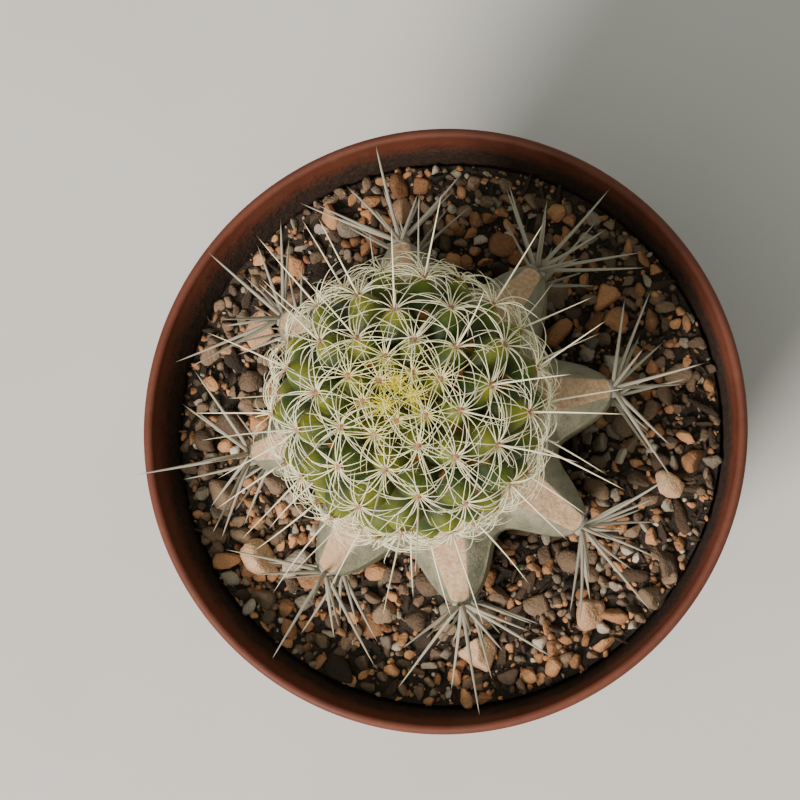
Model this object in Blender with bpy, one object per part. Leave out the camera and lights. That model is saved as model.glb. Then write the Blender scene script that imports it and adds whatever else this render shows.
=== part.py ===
"""A round cactus grafted on a ribbed rootstock, growing in a plastic nursery pot.

Metres, +Z up. The origin is the middle of the pot's foot, on the surface that it stands on,
and the pot, the rootstock and the scion all stand on the Z axis.
"""

import math
import random

import bmesh
import bpy
from mathutils import Vector, noise

# Pot: one thin moulding with a foot ring, a collar and a rolled lip.
POT_HEIGHT = 0.072
RIM_RADIUS = 0.0425
LIP_WIDTH = 0.0014
LIP_OVERHANG = 0.0004
COLLAR_HEIGHT = 0.014
COLLAR_DRAFT = 0.0026
COLLAR_STEP = 0.0014
WALL = 0.0012
BASE_RADIUS = 0.029
FOOT_WIDTH = 0.0020
FOOT_HEIGHT = 0.0020
DRAIN_RADIUS = 0.0035
DRAIN_RING_RADIUS = 0.0185
DRAIN_COUNT = 6

# Potting mix: it fills the pot to a little below the rim.
HEADSPACE = 0.010
SOIL_BUMP = 0.0009
SOIL_GRAIN = 0.0045
SOIL_RINGS = 9

# Rootstock: a ribbed column whose shoulders were sliced at a slant round the graft.
RIBS = 8
FIRST_RIB = math.radians(9.6)
STOCK_HEIGHT = 0.0305
STOCK_CREST_RADIUS = 0.0250
STOCK_VALLEY_RADIUS = 0.0180
STOCK_FOOT_NARROWING = 0.0040
RIB_SHARPNESS = 1.5
GRAFT_RADIUS = 0.0118
SHOULDER_SLOPE = math.radians(28)
BURIED_DEPTH = 0.020
STUB_RADIUS = 0.0080

# Roots: they leave the foot of the buried stem and end above the pot's floor.
ROOT_COUNT = 6
ROOT_RADIUS = 0.0016
ROOT_TIP_RADIUS = 0.0005
ROOT_START_RADIUS = 0.0050
ROOT_WALL_MARGIN = 0.008
ROOT_START_SHARE = 0.9
ROOT_DIP = 1.6
ROOT_WANDER = 0.5
ROOT_FLOOR_MARGIN = 0.010

# Scion: a round body with a tubercle under each areole of one golden-angle spiral.
SCION_RADIUS = 0.0138
SCION_RISE = 0.0135
SCION_DROP = 0.0140
SCION_FOOT_RADIUS = 0.0090
TUBERCLE_HEIGHT = 0.0040
TUBERCLE_WIDTH = 0.0038
TUBERCLE_CURVE = 1.6
TUBERCLE_COUNT = 75
SPIRAL_START = math.radians(84)
GOLDEN_ANGLE = math.pi * (3 - math.sqrt(5))
FIRST_TILT = math.radians(5.1)
TILT_STEP = math.radians(1.6)

# Spine clusters: a felted cushion with radial spines and, where grown, a central one.
SCION_CLUSTERS = 42
SCION_CUSHION_RADIUS = 0.00075
SCION_CUSHION_HEIGHT = 0.00055
SCION_SPINE = 0.0040
SCION_SPINE_LIFT = math.radians(38)
SCION_CENTRAL = 0.0095
FIRST_CENTRAL = 10
YOUNG_GROWTH = 0.38
STOCK_CUSHION_RADIUS = 0.0015
STOCK_CUSHION_HEIGHT = 0.0010
STOCK_SPINE = 0.0125
STOCK_SPINE_LIFT = math.radians(33)
STOCK_CENTRAL = 0.0150
STOCK_CLUSTER_TILT = math.radians(14)
STOCK_CLUSTER_DROP = 0.0014
SPINES_PER_CLUSTER = 8
CUSHION_TOP_SHARE = 0.6
SPINE_SWAY = 0.12
SHORTEST_SPINE = 0.8
LONGEST_SPINE = 1.1

# Loose stones on the mix: the angle of each round the pot, and its mean radius.
STONES = (
    (math.radians(-82), 0.0030),
    (math.radians(-52), 0.0022),
    (math.radians(-14), 0.0021),
    (math.radians(102), 0.0021),
    (math.radians(150), 0.0026),
    (math.radians(213), 0.0023),
)
STONE_INSET = 0.0045
STONE_ROUGHNESS = 0.30
STONE_FLATNESS = 0.75
STONE_PATCH = 2.5

# Gap between two pieces that touch, and the wider one round the ribbed, buried stem.
GAP = 0.0003
SOCKET_GAP = 0.0005

ROUND_STEPS = 48
STEPS_PER_RIB = 8
SCION_STEPS = 60
SCION_RINGS = 30
SMOOTH_ANGLE = math.radians(35)

# Heights that follow from the sizes above.
POT_FLOOR = FOOT_HEIGHT + WALL
COLLAR_Z = POT_HEIGHT - COLLAR_HEIGHT
SOIL_Z = POT_HEIGHT - HEADSPACE
GRAFT_Z = SOIL_Z + STOCK_HEIGHT
SCION_Z = GRAFT_Z + GAP + SCION_DROP

# Radii of the pot's outer wall that follow from the sizes above.
COLLAR_TOP_RADIUS = RIM_RADIUS - LIP_OVERHANG
COLLAR_LOW_RADIUS = COLLAR_TOP_RADIUS - COLLAR_DRAFT
SHOULDER_RADIUS = COLLAR_LOW_RADIUS - COLLAR_STEP


def clear_scene():
    for thing in list(bpy.data.objects):
        bpy.data.objects.remove(thing, do_unlink=True)


def material(name, colour, roughness, metallic=0.0):
    made = bpy.data.materials.new(name)
    made.use_nodes = True
    shader = made.node_tree.nodes["Principled BSDF"]
    shader.inputs["Base Color"].default_value = (*colour, 1.0)
    shader.inputs["Roughness"].default_value = roughness
    shader.inputs["Metallic"].default_value = metallic
    made.diffuse_color = (*colour, 1.0)
    return made


def new_object(name, mesh, look, parent=None):
    """Turns a bmesh into a smooth-shaded object with its faces pointing out."""
    bmesh.ops.recalc_face_normals(mesh, faces=mesh.faces)
    data = bpy.data.meshes.new(name)
    mesh.to_mesh(data)
    mesh.free()
    data.shade_smooth()
    data.set_sharp_from_angle(angle=SMOOTH_ANGLE)
    made = bpy.data.objects.new(name, data)
    bpy.context.scene.collection.objects.link(made)
    if look:
        data.materials.append(look)
    if parent:
        made.parent = parent
    return made


def new_empty(name):
    made = bpy.data.objects.new(name, None)
    bpy.context.scene.collection.objects.link(made)
    return made


def as_cutter(made):
    made.hide_render = True
    made.display_type = "WIRE"
    return made


def boolean(target, operation, other):
    change = target.modifiers.new(operation.lower(), "BOOLEAN")
    change.operation = operation
    change.solver = "EXACT"
    change.object = other


def blend(low, high, share):
    return low + (high - low) * share


def ring_of(mesh, steps, place):
    """Adds a ring of points, where place(angle) says where each one lies."""
    return [mesh.verts.new(place(2 * math.pi * step / steps)) for step in range(steps)]


def bridge(mesh, lower, upper):
    """Joins two rings that have as many points as each other."""
    for index in range(len(lower)):
        after = (index + 1) % len(lower)
        mesh.faces.new((lower[index], lower[after], upper[after], upper[index]))


def close_ring(mesh, ring, tip=None):
    """Closes a ring with a flat face, or with a fan to a tip."""
    if tip is None:
        mesh.faces.new(ring)
        return
    peak = mesh.verts.new(tip)
    for index in range(len(ring)):
        mesh.faces.new((ring[index], ring[(index + 1) % len(ring)], peak))


def loft(rings_at, steps, bottom_tip=None, top_tip=None):
    """A closed body through rings, each given as a function of the angle."""
    mesh = bmesh.new()
    rings = [ring_of(mesh, steps, place) for place in rings_at]
    for lower, upper in zip(rings, rings[1:]):
        bridge(mesh, lower, upper)
    close_ring(mesh, rings[0], bottom_tip)
    close_ring(mesh, rings[-1], top_tip)
    return mesh


def loft_ring(rings_at, steps):
    """A closed body round a hole, whose last ring joins its first."""
    mesh = bmesh.new()
    rings = [ring_of(mesh, steps, place) for place in rings_at]
    for lower, upper in zip(rings, rings[1:] + rings[:1]):
        bridge(mesh, lower, upper)
    return mesh


def circle(radius, height):
    return lambda angle: (radius * math.cos(angle), radius * math.sin(angle), height)


# Pot


def lip_points():
    """The rolled lip, as an arc from its outer lower edge over the top to its inner edge."""
    roll = LIP_WIDTH / 2
    middle = RIM_RADIUS - roll
    arc_steps = 6
    points = []
    for step in range(arc_steps + 1):
        turn = math.pi * step / arc_steps
        points.append((middle + roll * math.cos(turn), POT_HEIGHT - roll + roll * math.sin(turn)))
    return points


def inner_radius(height):
    """The radius of the pot's inner wall at a height."""
    if height >= COLLAR_Z + COLLAR_STEP:
        share = (height - COLLAR_Z - COLLAR_STEP) / (COLLAR_HEIGHT - COLLAR_STEP)
        return blend(COLLAR_LOW_RADIUS - WALL, RIM_RADIUS - LIP_WIDTH, share)
    share = (height - POT_FLOOR) / (COLLAR_Z - POT_FLOOR)
    return blend(BASE_RADIUS - WALL, SHOULDER_RADIUS - WALL, share)


def pot_profile():
    """(radius, height) from the middle hole's lower edge, up the outside and down the inside."""
    lip_underside = POT_HEIGHT - LIP_WIDTH
    outside = [
        (DRAIN_RADIUS, FOOT_HEIGHT),
        (BASE_RADIUS - FOOT_WIDTH, FOOT_HEIGHT),
        (BASE_RADIUS - FOOT_WIDTH, 0),
        (BASE_RADIUS, 0),
        (SHOULDER_RADIUS, COLLAR_Z),
        (COLLAR_LOW_RADIUS, COLLAR_Z + COLLAR_STEP),
        (COLLAR_TOP_RADIUS, lip_underside),
    ]
    inside = [
        (COLLAR_LOW_RADIUS - WALL, COLLAR_Z + COLLAR_STEP),
        (SHOULDER_RADIUS - WALL, COLLAR_Z),
        (BASE_RADIUS - WALL, POT_FLOOR),
        (DRAIN_RADIUS, POT_FLOOR),
    ]
    return outside + lip_points() + inside


def drain_cutter(number):
    """An upright pin through the pot's floor, midway between two of the wall's edges."""
    turn = 2 * math.pi * number / DRAIN_COUNT + math.pi / ROUND_STEPS
    pin_steps = 14
    pin = [circle(DRAIN_RADIUS, 0), circle(DRAIN_RADIUS, POT_FLOOR + FOOT_HEIGHT)]
    cutter = as_cutter(new_object(f"drain_cutter_{number + 1}", loft(pin, pin_steps), None))
    cutter.location = (DRAIN_RING_RADIUS * math.cos(turn), DRAIN_RING_RADIUS * math.sin(turn), 0)
    return cutter


def make_pot(parent):
    look = material("terracotta_plastic", (0.235, 0.082, 0.048), 0.50)
    rings = [circle(radius, height) for radius, height in pot_profile()]
    pot = new_object("pot", loft_ring(rings, ROUND_STEPS), look, parent)
    for number in range(DRAIN_COUNT):
        boolean(pot, "DIFFERENCE", drain_cutter(number))
    return pot


# Rootstock and roots


def rib_offset(angle):
    """The angle from the nearest rib's crest."""
    pitch = 2 * math.pi / RIBS
    return (angle - FIRST_RIB + pitch / 2) % pitch - pitch / 2


def rib_share(angle):
    """1 on the crest of a rib and 0 in the valley between two."""
    return (0.5 + 0.5 * math.cos(RIBS * rib_offset(angle))) ** RIB_SHARPNESS


def shoulder_height(radius, angle):
    """The height over the mix of the slanting cut across the nearest rib."""
    reach = radius * math.cos(rib_offset(angle))
    return STOCK_HEIGHT - (reach - GRAFT_RADIUS) * math.tan(SHOULDER_SLOPE)


def stem_radius(angle, narrowing):
    crest = STOCK_CREST_RADIUS - narrowing
    valley = STOCK_VALLEY_RADIUS - narrowing
    return blend(valley, crest, rib_share(angle))


def stem_ring(share):
    """A ring of the stem above the mix, from 0 at the mix to 1 at the sliced shoulder."""

    def place(angle):
        turned = angle + FIRST_RIB
        narrowing = STOCK_FOOT_NARROWING * (1 - math.sin(share * math.pi / 2))
        radius = stem_radius(turned, narrowing)
        top = shoulder_height(stem_radius(turned, 0), turned)
        return (radius * math.cos(turned), radius * math.sin(turned), SOIL_Z + share * top)

    return place


def buried_ring(share, grown):
    """A ring of the stem under the mix, from 0 at the mix to 1 near its foot."""

    def place(angle):
        turned = angle + FIRST_RIB
        full = stem_radius(turned, STOCK_FOOT_NARROWING)
        radius = blend(full, STUB_RADIUS, share ** 2) + grown
        height = SOIL_Z - share * BURIED_DEPTH
        return (radius * math.cos(turned), radius * math.sin(turned), height)

    return place


def graft_ring(angle):
    """The eight-sided edge where the slanting cuts meet the level one."""
    turned = angle + FIRST_RIB
    radius = GRAFT_RADIUS / math.cos(rib_offset(turned))
    return (radius * math.cos(turned), radius * math.sin(turned), GRAFT_Z)


def root_line(index, share):
    """A point on a root's middle line, which bends out and down from the stem's foot."""
    turn = 2 * math.pi * index / ROOT_COUNT + FIRST_RIB
    start_z = SOIL_Z - BURIED_DEPTH * ROOT_START_SHARE
    end_z = POT_FLOOR + ROOT_FLOOR_MARGIN
    end_radius = inner_radius(end_z) - ROOT_WALL_MARGIN
    radius = blend(ROOT_START_RADIUS, end_radius, math.sin(share * math.pi / 2))
    height = blend(start_z, end_z, share ** ROOT_DIP)
    bend = turn + ROOT_WANDER * share * math.sin(3 * turn + 1)
    return Vector((radius * math.cos(bend), radius * math.sin(bend), height))


def root_mesh(grown):
    """All the main roots, each one a tapering tube that starts inside the stem's foot."""
    mesh = bmesh.new()
    root_steps = 7
    sides = 7
    for index in range(ROOT_COUNT):
        rings = []
        for step in range(root_steps + 1):
            share = step / root_steps
            here = root_line(index, share)
            along = (root_line(index, share + 0.01) - root_line(index, share)).normalized()
            if step == root_steps:
                here += along * grown
            across = along.cross(Vector((0, 0, 1))).normalized()
            upward = across.cross(along)
            thickness = blend(ROOT_RADIUS, ROOT_TIP_RADIUS, share) + grown
            rings.append(ring_of(mesh, sides, lambda angle: here + thickness * (
                across * math.cos(angle) + upward * math.sin(angle))))
        for lower, upper in zip(rings, rings[1:]):
            bridge(mesh, lower, upper)
        close_ring(mesh, rings[0])
        close_ring(mesh, rings[-1])
    return mesh


def buried_rings(grown):
    ring_count = 5
    return [buried_ring(step / ring_count, grown) for step in range(ring_count, 0, -1)]


def stem_foot(grown):
    return (0, 0, SOIL_Z - BURIED_DEPTH - STUB_RADIUS / 4 - grown)


def make_rootstock(parent):
    look = material("rootstock_skin", (0.150, 0.165, 0.095), 0.62)
    stem_levels = 7
    rings = buried_rings(0)
    rings += [stem_ring(step / stem_levels) for step in range(stem_levels + 1)]
    rings.append(graft_ring)
    mesh = loft(rings, RIBS * STEPS_PER_RIB, stem_foot(0))
    stock = new_object("rootstock", mesh, look, parent)
    boolean(stock, "UNION", as_cutter(new_object("root_tubes", root_mesh(0), None)))
    return stock


# Potting mix and stones


def stone_place(turn, size):
    """Where a loose stone lies: a little inside the pot's wall."""
    reach = inner_radius(SOIL_Z) - STONE_INSET - size
    return Vector((reach * math.cos(turn), reach * math.sin(turn), 0))


def soil_height(x, y):
    """The mix's surface: bumpy, and level under each loose stone."""
    bump = SOIL_BUMP * noise.noise(Vector((x, y, 0)) / SOIL_GRAIN)
    for turn, size in STONES:
        away = (Vector((x, y, 0)) - stone_place(turn, size)).length
        bump *= min(1.0, max(0.0, away / size - STONE_PATCH))
    return SOIL_Z + bump


def soil_ring(radius):
    def place(angle):
        x = radius * math.cos(angle)
        y = radius * math.sin(angle)
        return (x, y, soil_height(x, y))

    return place


def socket_rim(height):
    """The socket's outline round the foot of the ribbed stem, at a height."""

    def place(angle):
        turned = angle + FIRST_RIB
        radius = stem_radius(turned, STOCK_FOOT_NARROWING) + SOCKET_GAP
        return (radius * math.cos(turned), radius * math.sin(turned), height)

    return place


def socket_mesh():
    """The space that the buried stem takes, a little wider than the stem and open above."""
    rings = buried_rings(SOCKET_GAP)
    rings += [socket_rim(SOIL_Z), socket_rim(SOIL_Z + 4 * SOIL_BUMP)]
    return loft(rings, RIBS * STEPS_PER_RIB, stem_foot(SOCKET_GAP))


def make_soil(parent):
    look = material("potting_mix", (0.035, 0.024, 0.016), 0.95)
    edge = inner_radius(SOIL_Z) - GAP
    side = [
        (BASE_RADIUS - WALL - GAP, POT_FLOOR + GAP),
        (SHOULDER_RADIUS - WALL - GAP, COLLAR_Z + GAP),
        (COLLAR_LOW_RADIUS - WALL - GAP, COLLAR_Z + COLLAR_STEP + GAP),
    ]
    rings = [circle(radius, height) for radius, height in side]
    rings.append(circle(edge, SOIL_Z))
    rings += [soil_ring(edge * (1 - step / SOIL_RINGS)) for step in range(1, SOIL_RINGS)]
    mesh = loft(rings, ROUND_STEPS, (0, 0, POT_FLOOR + GAP), (0, 0, SOIL_Z))
    soil = new_object("potting_soil", mesh, look, parent)
    boolean(soil, "DIFFERENCE", as_cutter(new_object("stem_socket", socket_mesh(), None)))
    boolean(soil, "DIFFERENCE", as_cutter(new_object("root_sockets", root_mesh(GAP), None)))
    return soil


def stone_mesh(size, chance):
    """An angular pebble, a little flatter than it is wide, standing on its lowest corner."""
    mesh = bmesh.new()
    bmesh.ops.create_icosphere(mesh, subdivisions=2, radius=size)
    shift = Vector((chance.uniform(0, 9), chance.uniform(0, 9), chance.uniform(0, 9)))
    for corner in mesh.verts:
        rough = noise.noise(corner.co / size + shift)
        corner.co *= 1 + STONE_ROUGHNESS * rough
        corner.co.z *= STONE_FLATNESS
    lowest = min(corner.co.z for corner in mesh.verts)
    bmesh.ops.translate(mesh, verts=mesh.verts, vec=(0, 0, -lowest))
    return mesh


def make_stones(parent):
    chance = random.Random(3)
    look = material("grit_stone", (0.42, 0.25, 0.14), 0.90)
    for number, (turn, size) in enumerate(STONES, 1):
        stone = new_object(f"grit_stone_{number:02d}", stone_mesh(size, chance), look, parent)
        stone.location = stone_place(turn, size) + Vector((0, 0, SOIL_Z + GAP))
        stone.rotation_euler = (0, 0, chance.uniform(0, 2 * math.pi))


# Scion


def unit_direction(tilt, turn):
    """The direction that tilts away from +Z by one angle and turns round it by the other."""
    across = math.sin(tilt)
    return Vector((across * math.cos(turn), across * math.sin(turn), math.cos(tilt)))


def areole_direction(number):
    """The unit-sphere direction of one areole, counted from the crown down the spiral."""
    tilt = FIRST_TILT + number * TILT_STEP
    return unit_direction(tilt, SPIRAL_START + number * GOLDEN_ANGLE)


def scion_surface(direction, lift=0.0):
    """The body's surface in a unit-sphere direction, lift further out along the normal."""
    drop = SCION_DROP / math.sqrt(1 - (SCION_FOOT_RADIUS / SCION_RADIUS) ** 2)
    tall = SCION_RISE if direction.z > 0 else drop
    point = Vector((direction.x * SCION_RADIUS, direction.y * SCION_RADIUS, direction.z * tall))
    normal = Vector((direction.x / SCION_RADIUS, direction.y / SCION_RADIUS, direction.z / tall))
    return point + normal.normalized() * lift


def growth(direction):
    """How far a tubercle has grown, as the spiral spreads it: fully from the widest ring down."""
    if direction.z < 0:
        return 1.0
    across = math.hypot(direction.x, direction.y)
    return max(YOUNG_GROWTH, math.sqrt(across))


def tubercle_height(direction):
    return TUBERCLE_HEIGHT * growth(direction)


def tubercle_lift(direction, tubercles):
    """How far the nearest tubercle raises the surface."""
    highest = 0.0
    here = scion_surface(direction)
    for centre, place, height in tubercles:
        away = (here - place).length / (TUBERCLE_WIDTH * growth(centre))
        if away < 1:
            highest = max(highest, height * (1 - away ** TUBERCLE_CURVE))
    return highest


def make_scion(parent):
    look = material("scion_skin", (0.085, 0.140, 0.035), 0.50)
    directions = [areole_direction(number) for number in range(TUBERCLE_COUNT)]
    tubercles = [(way, scion_surface(way), tubercle_height(way)) for way in directions]
    foot_tilt = math.pi - math.asin(SCION_FOOT_RADIUS / SCION_RADIUS)

    def scion_ring(tilt):
        def place(angle):
            way = unit_direction(tilt, angle)
            return scion_surface(way, tubercle_lift(way, tubercles))

        return place

    foot = circle(SCION_FOOT_RADIUS, -SCION_DROP)
    tilts = [foot_tilt * step / SCION_RINGS for step in range(SCION_RINGS - 1, 0, -1)]
    rings = [foot] + [scion_ring(tilt) for tilt in tilts]
    crown_way = Vector((0, 0, 1))
    crown = scion_surface(crown_way, tubercle_lift(crown_way, tubercles))
    scion = new_object("scion", loft(rings, SCION_STEPS, None, crown), look, parent)
    scion.location = (0, 0, SCION_Z)
    return scion


# Spine clusters


def cluster_mesh(radius, height, length, lift, central, chance):
    """A cushion whose sides each draw out into a spine, and its top into a central one."""
    mesh = bmesh.new()
    low = ring_of(mesh, SPINES_PER_CLUSTER, circle(radius, 0))
    high = ring_of(mesh, SPINES_PER_CLUSTER, circle(radius * CUSHION_TOP_SHARE, height))
    close_ring(mesh, low)
    close_ring(mesh, high, (0, 0, height + central))
    for index in range(SPINES_PER_CLUSTER):
        after = (index + 1) % SPINES_PER_CLUSTER
        base = (low[index], low[after], high[after], high[index])
        middle = sum((corner.co for corner in base), Vector()) / len(base)
        turn = math.atan2(middle.y, middle.x) + chance.uniform(-SPINE_SWAY, SPINE_SWAY)
        rise = lift + chance.uniform(-SPINE_SWAY, SPINE_SWAY)
        reach = length * chance.uniform(SHORTEST_SPINE, LONGEST_SPINE)
        way = unit_direction(math.pi / 2 - rise, turn)
        close_ring(mesh, list(base), middle + way * reach)
    return mesh


def place_cluster(cluster, where, outward, roll):
    """Stands a cluster on its areole, turned about the outward direction."""
    cluster.location = where
    cluster.rotation_euler = outward.to_track_quat("Z", "Y").to_euler()
    cluster.rotation_euler.rotate_axis("Z", roll)


def make_scion_spines(scion):
    chance = random.Random(11)
    look = material("scion_spine", (0.80, 0.74, 0.55), 0.45)
    for number in range(SCION_CLUSTERS):
        way = areole_direction(number)
        size = growth(way)
        central = SCION_CENTRAL if number >= FIRST_CENTRAL else SCION_CUSHION_HEIGHT / 2
        mesh = cluster_mesh(
            SCION_CUSHION_RADIUS * size,
            SCION_CUSHION_HEIGHT * size,
            SCION_SPINE * size,
            SCION_SPINE_LIFT,
            central,
            chance,
        )
        cluster = new_object(f"scion_spines_{number + 1:02d}", mesh, look, scion)
        foot = scion_surface(way, tubercle_height(way) + GAP)
        outward = (foot - scion_surface(way)).normalized()
        place_cluster(cluster, foot, outward, chance.uniform(0, 2 * math.pi))


def make_stock_spines(parent):
    chance = random.Random(5)
    look = material("rootstock_spine", (0.50, 0.46, 0.38), 0.55)
    cut_z = SOIL_Z + shoulder_height(STOCK_CREST_RADIUS, FIRST_RIB)
    proud = GAP + STOCK_CUSHION_RADIUS * math.sin(STOCK_CLUSTER_TILT)
    reach = STOCK_CREST_RADIUS + proud
    for rib in range(RIBS):
        mesh = cluster_mesh(
            STOCK_CUSHION_RADIUS,
            STOCK_CUSHION_HEIGHT,
            STOCK_SPINE,
            STOCK_SPINE_LIFT,
            STOCK_CENTRAL,
            chance,
        )
        cluster = new_object(f"rootstock_spines_{rib + 1:02d}", mesh, look, parent)
        turn = FIRST_RIB + 2 * math.pi * rib / RIBS
        aside = Vector((math.cos(turn), math.sin(turn), 0))
        outward = aside * math.cos(STOCK_CLUSTER_TILT) + Vector((0, 0, math.sin(STOCK_CLUSTER_TILT)))
        where = aside * reach + Vector((0, 0, cut_z - STOCK_CLUSTER_DROP))
        place_cluster(cluster, where, outward, math.pi / SPINES_PER_CLUSTER / 2)


def main():
    clear_scene()
    plant = new_empty("potted_cactus")
    make_pot(plant)
    make_soil(plant)
    make_stones(plant)
    make_rootstock(plant)
    make_stock_spines(plant)
    make_scion_spines(make_scion(plant))


main()
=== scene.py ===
"""The looks of a round cactus grafted on a ribbed rootstock, in a plastic nursery pot.

Metres, +Z up. The pot, the rootstock and the round scion share the Z axis. The rim, the pot's
height, the graft's height and the stones' places come from the frame's own nodes. The other sizes
are written below, and keep each piece about where its CAD node lies.
"""

import math

import bmesh
import bpy
import numpy as np
from mathutils import Matrix, Vector, noise


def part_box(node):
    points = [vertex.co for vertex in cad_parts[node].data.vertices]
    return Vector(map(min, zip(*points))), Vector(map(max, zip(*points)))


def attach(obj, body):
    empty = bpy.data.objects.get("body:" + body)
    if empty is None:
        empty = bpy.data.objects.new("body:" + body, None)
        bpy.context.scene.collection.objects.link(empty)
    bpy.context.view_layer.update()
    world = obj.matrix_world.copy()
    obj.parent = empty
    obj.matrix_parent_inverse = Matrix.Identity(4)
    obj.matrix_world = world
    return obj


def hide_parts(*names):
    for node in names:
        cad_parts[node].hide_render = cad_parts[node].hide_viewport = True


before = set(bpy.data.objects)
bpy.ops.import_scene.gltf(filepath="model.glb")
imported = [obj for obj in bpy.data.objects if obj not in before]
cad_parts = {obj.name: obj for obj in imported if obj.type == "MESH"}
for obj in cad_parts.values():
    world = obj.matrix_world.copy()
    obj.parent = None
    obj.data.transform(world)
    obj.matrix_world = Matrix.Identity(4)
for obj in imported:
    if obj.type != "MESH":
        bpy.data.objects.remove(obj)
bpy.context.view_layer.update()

MM = 0.001
TAU = 2 * math.pi
BODY = "root"

# The frame's own sizes.
POT_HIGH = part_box("pot")[1]
SOIL_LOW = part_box("potting_soil")[0]
STOCK_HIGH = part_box("rootstock")[1]
RIM_RADIUS = POT_HIGH.x
POT_HEIGHT = POT_HIGH.z
GRAFT_Z = STOCK_HIGH.z
SOIL_Z = POT_HEIGHT - 10 * MM

# Pot, as the frame's own node is made.
LIP_WIDTH = 1.4 * MM
LIP_OVERHANG = 0.4 * MM
COLLAR_HEIGHT = 14 * MM
COLLAR_DRAFT = 2.6 * MM
COLLAR_STEP = 1.4 * MM
WALL = 1.2 * MM
BASE_RADIUS = 29 * MM
FOOT_WIDTH = 2 * MM
FOOT_HEIGHT = 2 * MM
POT_FLOOR = FOOT_HEIGHT + WALL
DRAIN_RADIUS = 3.5 * MM
DRAIN_RING_RADIUS = 18.5 * MM
DRAIN_COUNT = 6
DRAIN_STEPS = 30
POT_STEPS = 192

# Radii and heights of the pot's wall that follow from its sizes.
COLLAR_Z = POT_HEIGHT - COLLAR_HEIGHT
COLLAR_TOP = RIM_RADIUS - LIP_OVERHANG
COLLAR_LOW = COLLAR_TOP - COLLAR_DRAFT
SHOULDER = COLLAR_LOW - COLLAR_STEP

# The dark film on the inner wall, partly caked mix and partly painted shade: whole up to one height and
# gone at another.
SHADED_FILM_WHOLE_Z = SOIL_Z + 7 * MM
SHADED_FILM_GONE_Z = SOIL_Z + 10.5 * MM

# The mix: how it is heaped against the wall, and how far it stands off the pot.
HEAP_START = 33 * MM
HEAP_WIDTH = 5.5 * MM
HEAP_RISE = 1.4 * MM
MIX_GAP = 0.3 * MM
MIX_HOLE = 8 * MM

# Kinds of grain as (dark, light), and the share of each.
GRIT = {
    "grit_tan": ((0.17, 0.070, 0.027), (0.60, 0.29, 0.130)),
    "grit_brown": ((0.065, 0.039, 0.023), (0.27, 0.170, 0.102)),
    "grit_grey": ((0.105, 0.080, 0.055), (0.36, 0.285, 0.205)),
    "grit_pale": ((0.26, 0.205, 0.150), (0.60, 0.50, 0.38)),
    "bark_bits": ((0.014, 0.009, 0.006), (0.080, 0.045, 0.024)),
}
GRIT_SHARE = (0.28, 0.37, 0.10, 0.05, 0.20)

# Lots of grains, the larger ones first: (count, least and most radius, ball detail, how far apart).
GRIT_LOTS = (
    (150, 1.4 * MM, 2.5 * MM, 3, 0.76),
    (560, 0.85 * MM, 1.4 * MM, 3, 0.66),
    (1300, 0.45 * MM, 0.90 * MM, 2, 0.48),
    (1300, 0.22 * MM, 0.45 * MM, 2, 0.20),
)
GRIT_INNER_REACH = 15 * MM
GRAIN_ROUGHNESS = 0.07
STONE_SUNK = 0.9 * MM

# Rootstock.
RIBS = 8
FIRST_RIB = math.radians(9.6)
RIB_PITCH = TAU / RIBS
CREST_RADIUS = 24.9 * MM
VALLEY_RADIUS = 17.6 * MM
STOCK_NARROWING = 4 * MM
GRAFT_RADIUS = 11.8 * MM
CUT_SLOPE = math.radians(28)
CUT_HALF_WIDTH = 3.2 * MM
CUT_TAPER = 2.1 * MM
FLANK_SLOPE = math.radians(52)
VALLEY_EDGE_DROP = 8.5 * MM
STEPS_PER_RIB = 48
TOP_RINGS = 34
WALL_RINGS = 30
LOW_AREOLE_Z = SOIL_Z + 10.5 * MM

# Scion: the body, and its areoles along one golden-angle spiral from the crown down.
SCION_RADIUS = 13.5 * MM
SCION_RISE = 13.2 * MM
SCION_WAIST = 0.10
SCION_DROP = 14.0 * MM
SCION_FOOT_RADIUS = 9.0 * MM
SCION_Z = GRAFT_Z + 0.3 * MM + SCION_DROP
TUBERCLE_HEIGHT = 4.9 * MM
TUBERCLE_WIDTH = 3.7 * MM
TUBERCLE_CURVE = 1.6
TUBERCLE_MERGE = 7
AREOLES = 75
YOUNG_GROWTH = 0.38
SPIRAL_START = math.radians(84)
GOLDEN_ANGLE = math.pi * (3 - math.sqrt(5))
FIRST_TILT = math.radians(5.1)
TILT_STEP = math.radians(1.6)

# Areoles counted from the crown: the yellow tufts, and the first that may have a central spine.
TUFTS = 3
FIRST_CENTRAL = 12
CENTRAL_SHARE = 0.85

# The scion clusters' materials, in the order of their slots.
RADIAL, CENTRAL, CROWN, FELT, CROWN_FELT, INNER = range(6)

# How finely spines are made: sides round each, and points along it.
FINE_SIDES, FINE_STEPS = 5, 9
STOUT_SIDES, STOUT_STEPS = 7, 8

LAMP_TARGET = Vector((0, 0, 0.06))
CAMERA_AIM = Vector((-5.8 * MM, 4.05 * MM, POT_HEIGHT))
CAMERA_DISTANCE_MM = 405
CAMERA_LENS = 130.2

CAD_CLUSTERS = sorted(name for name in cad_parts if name.startswith("scion_spines_"))
CAD_STONES = sorted(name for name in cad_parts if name.startswith("grit_stone_"))
STOCK_CLUSTERS = sorted(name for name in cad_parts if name.startswith("rootstock_spines_"))


def blend(low, high, share):
    return low + (high - low) * share


def smooth(value):
    """0 below 0, 1 above 1, and an even S between them."""
    value = np.clip(value, 0, 1)
    return value * value * (3 - 2 * value)


def unit(vectors):
    return vectors / np.linalg.norm(vectors, axis=-1, keepdims=True)


# Meshes


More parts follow.
